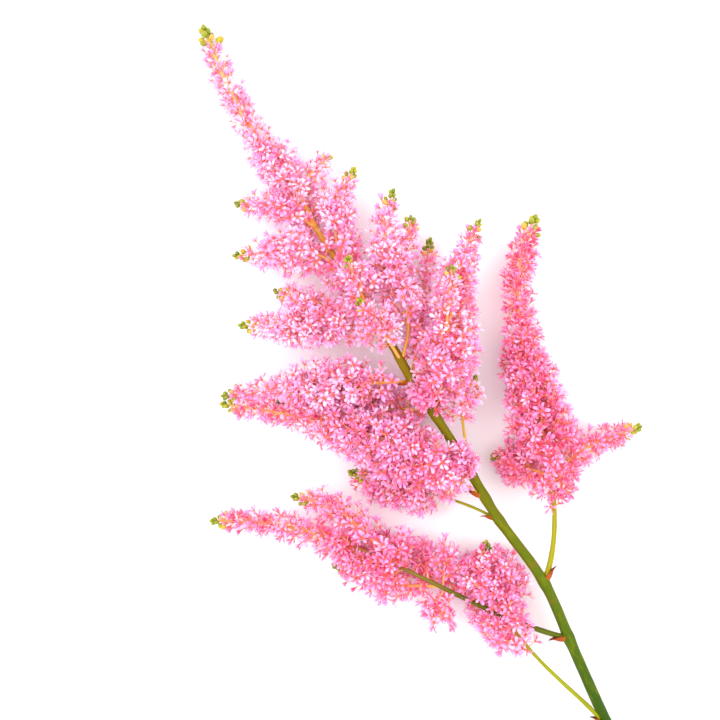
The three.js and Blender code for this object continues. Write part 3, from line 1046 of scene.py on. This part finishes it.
def turned_shape(radii, heights, sides, lean=0.0, turn=0.0, shift=0.0):
    """A closed turned shape. Its first and last rings shrink to points."""
    rings = len(radii) - 2
    turns = 2 * np.pi * np.arange(sides) / sides
    ring_corners = [
        np.stack([r * np.cos(turns), r * np.sin(turns), np.full(sides, h)], -1)
        for r, h in zip(radii[1:-1], heights[1:-1])
    ]
    ends = np.array([[0, 0, heights[0]], [0, 0, heights[-1]]])
    corners = np.concatenate([*ring_corners, ends])
    span = heights[-1] - heights[0]
    along = (corners[:, 2] - heights[0]) / span
    around = np.append(np.tile(np.abs(2 * np.arange(sides) / sides - 1), rings), [0.5, 0.5])
    c, s = math.cos(lean), math.sin(lean)
    corners = corners @ np.array([[c, 0, -s], [0, 1, 0], [s, 0, c]])
    corners[:, 0] += shift
    quads, caps = tube_faces(rings, sides)
    return corners @ turned_by(turn), along, around, quads, caps


# %% [markdown]
# ### Putting a flower together
# Open flowers spread their petals and stamens. Half-shut ones hold them together, and those deep
# inside a plume are made with one stamen, since hardly anything of them shows. A handful of
# forms is enough, because every copy has its own spin, size and tints.

# %% Put the parts of a flower together
PETALS = 5
CUP_RADII, CUP_HEIGHTS = [0, 0.2, 0.42, 0], [-0.12, 0.0, 0.5, 0.38]
OVARY_RADII, OVARY_HEIGHTS = [0, 0.19, 0.12, 0], [0.3, 0.5, 0.85, 1.15]
OVARY_LEAN, OVARY_SHIFT = 0.25, 0.08
THREAD_RADII, THREAD_FOOT, THREAD_SHIFT = [0, 0.05, 0.12, 0], 0.3, 0.14


def flower_form(random, openness, stamens):
    """The parts of one flower: for each its shape, its finish and the rows it's tinted from."""
    parts = []
    for i in range(PETALS):
        turn = 2 * math.pi * (i + random.uniform(-0.13, 0.13)) / PETALS
        shape = petal_shape(
            length=random.uniform(2.2, 3.1),
            width=random.uniform(0.75, 1.1),
            lean=openness * random.uniform(0.75, 1.1),
            curl=random.uniform(-0.3, 0.7) * openness,
            twist=random.uniform(-0.7, 0.7),
            turn=turn,
        )
        parts.append((shape, 0, None))
    parts.append((turned_shape(CUP_RADII, CUP_HEIGHTS, 5), 1, CUP_ROWS))
    for turn in (0.4, 0.4 + math.pi):
        ovary = turned_shape(OVARY_RADII, OVARY_HEIGHTS, 3, OVARY_LEAN, turn, OVARY_SHIFT)
        parts.append((ovary, 1, OVARY_ROWS))
    for i in range(stamens):
        length = random.uniform(1.5, 2.3)
        heights = [THREAD_FOOT, 0.84 * length, 0.93 * length, length]
        lean, turn = openness * random.uniform(0.35, 0.8), 2 * math.pi * (i + 0.3) / stamens
        thread = turned_shape(THREAD_RADII, heights, 3, lean, turn, THREAD_SHIFT)
        parts.append((thread, 1, THREAD_ROWS))
    return parts


FORM_SEED = 11
form_random = np.random.default_rng(FORM_SEED)
open_forms = [flower_form(form_random, o, 5) for o in (0.6, 0.75, 0.85, 0.95, 1.05, 1.2)]
half_forms = [flower_form(form_random, o, 3) for o in (0.35, 0.5, 0.6)]
inner_forms = [flower_form(form_random, o, 1) for o in (0.7, 0.9, 1.1)]
print("forms of the flower:", len(open_forms), "open,", len(half_forms), "half open")

# %% [markdown]
# ### Copies
# To copy a flower is to turn its corners to face along a stalk, scale them and move them there.
# All copies of one form are reckoned at once, which takes seconds instead of minutes.

# %% Copy flowers onto their stalks


def facing(directions, spins):
    """Rotations that turn the up axis to each direction, with a spin round it."""
    turns = np.empty((len(directions), 3, 3))
    for i, (direction, spin) in enumerate(zip(directions, spins)):
        side, over = across(direction)
        first = math.cos(spin) * side + math.sin(spin) * over
        turns[i] = np.stack([first, np.cross(direction, first), direction], 1)
    return turns


def copy_form(batch, parts, places, turns, sizes, rows, random):
    """Adds one copy of a form at each place. rows holds each flower's petal tint."""
    copies = len(places)
    for (corners, along, widths, quads, triangles), finish, own_rows in parts:
        placed = np.einsum("nij,vj->nvi", turns, corners) * sizes[:, None, None]
        placed += places[:, None]
        if own_rows is None:
            row = (rows + random.integers(-2, 3, copies)).clip(0, ROWS - 2)
        else:
            row = random.integers(*own_rows, copies)
        spots = on_map(
            np.broadcast_to(along, (copies, len(along))),
            np.broadcast_to(widths, (copies, len(widths))), row[:, None],
        )
        offsets = (np.arange(copies) * len(corners))[:, None, None]
        batch.add(
            placed.reshape(-1, 3), spots.reshape(-1, 2),
            [(faces[None] + offsets).reshape(-1, faces.shape[1]) for faces in (quads, triangles)],
            finish,
        )


# %% [markdown]
# ## All the plumes
# Low branches open first, so their flowers are the oldest and reddest, and the stalks there are
# green. Towards the top they're younger and paler. These tables say so for each branch.

# %% Choose tints for each branch
STALK_ROWS = {  # tint of each branch's skin: dark green, yellow-green, ochre, cream
    "low_left": 0, "low_right": 7, "lowest_left": 6, "middle_left_short": 6, "middle_left": 12,
    "middle_right": 13, "middle_right_small": 12, "middle_left_back": 14, "upper_left": 15,
    "upper_right": 15,
}
TOP_STALK_ROW = 18
CLEAR_ABOVE = {"low_left": 22.0}  # millimetres of flowers that leave the branch bare on top
WARMTH = {  # how far the flowers are on towards coral
    "low_left": 1.2, "low_left_lower": 1.2, "low_left_upper": 0.6, "low_right": 1.6,
    "low_right_inner": 1.4, "low_right_outer": 1.2, "lowest_left": 0.9,
    "middle_left_short": 0.5, "middle_left": 0.2, "middle_right": 0.2,
}
YOUNG_WARMTH = -0.65  # of the plumes not named above

# %% [markdown]
# ### A plume's stalks and flowers
# The branch itself is a tube again, a little swollen at its foot. Then each place where a flower
# grew gets a copy: a half-shut form near the tip, a simple one deep inside, an open one elsewhere.

# %% Turn a plume's growth into stalks and flowers
BARK_RING_STEP, BARK_SIDES = 2.0, 8
FOOT_SWELL, SWELL_REACH = 0.35, 2.2
STALK_FADE = (0.3, 0.45)  # the finish turns from bark to flower stalk over this part of a row
INNER_REACH = 0.55  # flowers deeper than this share of the plume's breadth are simpler
LATE_SHARE = 0.07  # how many flowers lag behind and are still half shut
CLOSED_SHARE = 0.84  # past this share of a plume most flowers are still half shut
BROADEST = 92  # the percentile of the flowers' depths that counts as the plume's breadth
FLOWER_SIZES, YOUNG_SHRINK = (0.9, 1.22), 0.18
MIDDLE_ROW, ROW_SCATTER = 12, 4.6
# Painted light and shade: the breadth term pales flowers on the outside of a plume as if lit and
# deepens those inside as if shaded.
WARM_ROWS, PAINTED_LIGHT_ROWS, YOUNG_ROWS = 4, 6.5, 2  # how much warmth, breadth and youth shift a tint


def branch_skin(growth):
    """The branch itself, from inside its parent to its last bud."""
    path = growth.path
    row = STALK_ROWS.get(growth.name, TOP_STALK_ROW)
    places = np.append(np.arange(0, path.length, BARK_RING_STEP), path.length)
    line = np.array([path.at(d) for d in places])
    radii = np.array([path.radius(d) for d in places])
    radii = radii * (1 + FOOT_SWELL * np.exp(-((places / SWELL_REACH) ** 2)))
    flowers_at = growth.first / path.length
    fade, fade_length = STALK_FADE
    end = fade + fade_length * (1 - flowers_at)
    start = fade - fade_length * flowers_at
    add_tube(growth.stalks, line, radii, BARK_SIDES, row, (max(start, 0), end + 0.1))


def petal_rows(random, outer, shares, warmth):
    """Tints from pale lilac to coral: coral for lower, older flowers, with a painted highlight paling
    outer flowers and painted shade deepening inner ones.
    """
    # painted light and shade: outer flowers get paler tints as a highlight, inner ones deeper tints
    # as shade
    rows = MIDDLE_ROW + warmth * WARM_ROWS - PAINTED_LIGHT_ROWS * outer - YOUNG_ROWS * shares
    rows += random.normal(0, ROW_SCATTER, len(outer))
    return rows.round().astype(int).clip(0, ROWS - 2)


def make_flowers(growth):
    """All the flowers of a plume, or of a part of it, as one batch."""
    random, warmth = growth.random, WARMTH.get(growth.name, YOUNG_WARMTH)
    batch = Batch()
    places = np.array([f[0] for f in growth.flowers])
    directions = np.array([unit(f[1]) for f in growth.flowers])
    shares = np.array([f[2] for f in growth.flowers])
    depth = np.array([f[3] for f in growth.flowers])
    outer = (depth / np.percentile(depth, BROADEST)).clip(0, 1.2)
    turns = facing(directions, random.uniform(0, 2 * np.pi, len(places)))
    sizes = random.uniform(*FLOWER_SIZES, len(places)) * (1 - YOUNG_SHRINK * shares)
    # these petal tints carry painted light and shade by each flower's depth in the plume
    rows = petal_rows(random, outer, shares, warmth)
    closed = shares > CLOSED_SHARE + random.uniform(-0.08, 0.1, len(places))
    closed |= random.random(len(places)) < LATE_SHARE
    inner = (outer < INNER_REACH) & ~closed
    rows = np.where(closed, rows.clip(6) + 4, rows)
    groups = ((closed, half_forms), (inner, inner_forms), (~closed & ~inner, open_forms))
    for chosen, forms in groups:
        draws = random.integers(0, len(forms), len(places))
        for i, form in enumerate(forms):
            at = np.flatnonzero(chosen & (draws == i))
            if len(at):
                copy_form(batch, form, places[at], turns[at], sizes[at], rows[at], random)
    return batch


# %% [markdown]
# ### A plume's buds
# A bud is an egg shape with a blunt foot. The buds of the two strongest plumes are bigger.

# %% Turn a plume's growth into buds
BUD_SIZES = {"top": 2.1, "low_right": 1.8}  # against the shape below, if not 1.5
BUD_TINTS = ((0, 12), (5, 21))  # rows of green for the young buds, and of green to rose


def bud_shape(random):
    width = random.uniform(0.5, 0.66)
    return turned_shape(
        [0, 0.3 * width, 0.9 * width, width, 0.6 * width, 0],
        [-0.05, 0.02, 0.4, 0.85, 1.3, 1.5], 7,
    )


def make_buds(growth):
    random = growth.random
    batch = Batch()
    for place, direction, youth in growth.buds:
        size = BUD_SIZES.get(growth.name, 1.5) * random.uniform(0.85, 1.1) * (1 - 0.2 * youth)
        tints = BUD_TINTS[0] if youth > 0.4 else BUD_TINTS[1]
        parts = [(bud_shape(random), 0, tints)]
        turns = facing([unit(direction)], [random.uniform(0, 6)])
        copy_form(batch, parts, np.array([place]), turns, np.array([size]), None, random)
    return batch


# %% [markdown]
# ### One plume after another
# Each plume becomes three pieces: stalks, flowers and buds. The stalks stand for the frame's
# branch and the flowers for its flower solid. Each plume has its own seed, so a change to one
# leaves the others as they are.

# %% Grow every plume
MOST_FLOWERS = 950  # in one piece; a fuller plume is parted into a lower and an upper piece
FIRST_SEED = 100


def make_blooms(growth):
    """The plume's flowers as one piece, or as a lower and an upper one. Returns its triangles."""
    flowers = sorted(growth.flowers, key=lambda f: f[2])
    parts = -(-len(flowers) // MOST_FLOWERS)
    triangles = 0
    for i in range(parts):
        growth.flowers = flowers[i * len(flowers) // parts:(i + 1) * len(flowers) // parts]
        batch = make_flowers(growth)
        piece_name = f"blooms_{growth.name}" + (f"_{'abcd'[i]}" if parts > 1 else "")
        replaced = [f"flowers_{growth.name}"] if i == 0 else []
        make_piece(piece_name, batch, [petal.material, heart.material], replaced)
        triangles += batch.triangle_count()
    growth.flowers = flowers
    return triangles


flower_total, triangle_total = 0, 0
for seed, name in enumerate(plumes):
    growth = Growth(name, FIRST_SEED + seed)
    if name != "top":
        branch_skin(growth)
    grow_along(growth, growth.first + CLEAR_ABOVE[name] if name in CLEAR_ABOVE else 0.0)
    replaced = [f"branch_{name}"] if name in branches else []
    make_piece(f"stalks_{name}", growth.stalks, [stalk.material], replaced)
    triangles = make_blooms(growth)
    make_piece(f"buds_{name}", make_buds(growth), [bud.material])
    flower_total += len(growth.flowers)
    triangle_total += triangles
    print(f"{name}: {len(growth.flowers)} flowers, {len(growth.buds)} buds, {triangles} triangles")
print(flower_total, "flowers,", triangle_total, "triangles")

# %% [markdown]
# ## Scale leaves
# A small brown bract sits under each of the lower branches. It is a dry, pointed leaf that is
# wrapped half round the branch. The frame has a rounded wedge there, and this leaf lies along it.

# %% The bracts' finish
scale_leaf = Finish("scale_leaf")
leaf_body = scale_leaf.ramp(scale_leaf.along, [
    (0.0, (150, 110, 20)), (0.3, (150, 66, 12)), (0.75, (124, 34, 8)), (1.0, (72, 20, 8)),
])
leaf_veins = scale_leaf.noise((6, 420), 4)
scale_leaf.set(
    Base_Color=scale_leaf.tinge(leaf_body, (188, 104, 40), leaf_veins, 0.45, 0.7, 0.6),
    Roughness=scale_leaf.rising(leaf_veins, 0.3, 0.5),
    Specular_IOR_Level=0.2,
)
scale_leaf.bump(leaf_veins, 0.08)

# %% [markdown]
# The leaf is two skins, one a little outside the other, joined by a rim. Each row of corners goes
# part of the way round the branch: nearly all the way at the foot, and hardly at all at the
# point, which stands off. A short brown collar closes the joint below it.

# %% Shape the scale leaves
LEAF_SHARES = np.linspace(0, 1, 10)
LEAF_ACROSS = np.linspace(-1, 1, 9)
LEAF_THICKNESS = 0.12
LEAF_WRAP = 1.9  # radians round the branch, to each side, at the leaf's foot
LEAF_FLARE = 1.3  # how far the leaf's point stands off the branch
COLLAR_LENGTH = 2.0  # the brown swollen foot of the branch
LEAF_ROW = 10.0
LEAF_BELLY = 0.45  # how far its middle bulges off the branch
LEAF_LOOSE = (1.2, 0.12)  # its radius against the branch's: times, and plus millimetres
COLLAR_RINGS, COLLAR_SIDES, COLLAR_SWELL = 6, 10, (1.22, 0.25)


def leaf_turns(share):
    """How far round the branch a scale leaf reaches to each side, narrowing to its point."""
    return LEAF_WRAP * (1 - share**1.5) ** 0.8 + 0.06


def make_bract(name):
    corners, _ = solid_of(f"bract_{name}")
    path, middle = paths[name], corners.mean(0)
    centre = nearest_distance(path, middle)
    along = path.direction(centre)
    out = unit((middle - path.at(centre)) - along * ((middle - path.at(centre)) @ along))
    reach = np.ptp(corners @ along)
    first, last = centre - reach / 2 - 1.0, centre + reach / 2
    skins = []
    for lift in (LEAF_THICKNESS, 0.0):
        for share in LEAF_SHARES:
            distance = first + (last - first) * share
            heart, direction = path.at(distance), path.direction(distance)
            up = unit(out - direction * (out @ direction))
            side = np.cross(direction, up)
            for w in LEAF_ACROSS:
                turn = w * leaf_turns(share)
                belly = LEAF_BELLY * math.sin(math.pi * min(share * 1.4, 1))
                bulge = belly + LEAF_FLARE * share**3
                radius = path.radius(distance) * LEAF_LOOSE[0] + LEAF_LOOSE[1] + lift + bulge
                skins.append(heart + radius * (math.cos(turn) * up + math.sin(turn) * side))
    n, m = len(LEAF_SHARES), len(LEAF_ACROSS)
    count = n * m
    i, j = np.meshgrid(np.arange(n - 1), np.arange(m - 1), indexing="ij")
    here = (i * m + j).ravel()
    top = np.stack([here, here + 1, here + m + 1, here + m], -1)
    under = top[:, ::-1] + count
    rim = np.concatenate([
        np.arange(m), np.arange(2 * m - 1, n * m, m), np.arange(n * m - 2, (n - 1) * m - 1, -1),
        np.arange((n - 2) * m, 0, -m),
    ])
    after = np.roll(rim, -1)
    edge = np.stack([after, rim, rim + count, after + count], -1)
    shares = np.tile(np.repeat(LEAF_SHARES, m), 2)
    widths = np.tile(np.tile((LEAF_ACROSS + 1) / 2, n), 2)
    batch = Batch()
    batch.add(np.array(skins), on_map(shares, widths, LEAF_ROW), [np.concatenate([top, under, edge])])
    places = np.linspace(first - 0.6, first + COLLAR_LENGTH, COLLAR_RINGS)
    collar = np.array([path.at(d) for d in places])
    swell = COLLAR_SWELL[0] + COLLAR_SWELL[1] * np.sin(np.linspace(0.3, math.pi, COLLAR_RINGS))
    radii = path.radius(first) * swell
    add_tube(batch, collar, radii, COLLAR_SIDES, LEAF_ROW, (0.15, 0.5))
    make_piece(f"scale_leaf_{name}", batch, [scale_leaf.material],
               [f"bract_{name}"])


for name in bracts:
    make_bract(name)
print(len(bracts), "scale leaves")

# %% [markdown]
# ## Surface, light and camera
# The cut flower lies on a pale matt surface, which is one big square. It belongs to the stage and
# not to the flower, so it isn't attached to the flower's body.

# %% Lay the surface
SURFACE_SIZE = 8.0  # metres
surface_mesh = bpy.data.meshes.new("surface")
half = SURFACE_SIZE / 2
surface_mesh.from_pydata(
    [(-half, -half, 0), (half, -half, 0), (half, half, 0), (-half, half, 0)], [], [(0, 1, 2, 3)]
)
surface = bpy.data.objects.new("surface", surface_mesh)
bpy.context.scene.collection.objects.link(surface)
board = bpy.data.materials.new("pale_surface")
board.use_nodes = True
board_shader = board.node_tree.nodes["Principled BSDF"]
board_shader.inputs["Base Color"].default_value = (0.86, 0.86, 0.86, 1)
board_shader.inputs["Roughness"].default_value = 0.9
board_shader.inputs["Specular IOR Level"].default_value = 0.1
surface_mesh.materials.append(board)

# %% [markdown]
# The light is that of a bright room. The sky all round does most of it, so that shadows stay
# light, and two broad lamps give the petals some shape: a stronger one from one side, as a window
# would, and a weaker one opposite.

# %% Set the light
SKY_STRENGTH = 1.65
world = bpy.data.worlds.new("sky")
bpy.context.scene.world = world
world.use_nodes = True
sky = world.node_tree.nodes["Background"]
sky.inputs[0].default_value = (1.0, 1.0, 1.0, 1)
sky.inputs[1].default_value = SKY_STRENGTH


def add_lamp(name, place, size, power):
    data = bpy.data.lights.new(name, "AREA")
    data.shape, data.size, data.energy = "DISK", size, power
    lamp = bpy.data.objects.new(name, data)
    lamp.location = place
    lamp.rotation_euler = (-Vector(place)).to_track_quat("-Z", "Y").to_euler()
    bpy.context.scene.collection.objects.link(lamp)


add_lamp("window", place=(-0.7, 0.6, 1.3), size=0.9, power=11)  # metres and watts
add_lamp("reflector", place=(0.9, -0.5, 0.9), size=1.2, power=5)
bpy.context.scene.view_settings.view_transform = "Standard"

# %% [markdown]
# The camera looks straight down through a long lens, which hardly distorts. It is turned a little
# so that the stem runs up the picture at a slant, and aims at a point well above the cut end.

# %% Place the camera
LENS = 100.0
SENSOR = 36.0
VIEW_WIDTH = 252.0  # millimetres of the surface that the picture spans
AIM_HEIGHT = 12.0
AIM_FROM_CUT = (-9.1, 200.7, 0.0)
CAMERA_ROLL = math.radians(-30)
cut_end = Vector(stem_middles[0])
aim = cut_end + Vector(AIM_FROM_CUT)
camera_data = bpy.data.cameras.new("camera")
camera_data.lens, camera_data.sensor_width = LENS, SENSOR
camera_data.clip_start, camera_data.clip_end = 0.01, 20
camera = bpy.data.objects.new("camera", camera_data)
camera.location = (
    aim.x * MM, aim.y * MM, (AIM_HEIGHT + VIEW_WIDTH * LENS / SENSOR) * MM
)
camera.rotation_euler = (0, 0, CAMERA_ROLL)
bpy.context.scene.collection.objects.link(camera)
bpy.context.scene.camera = camera
print("camera at", [round(c, 3) for c in camera.location], "m")
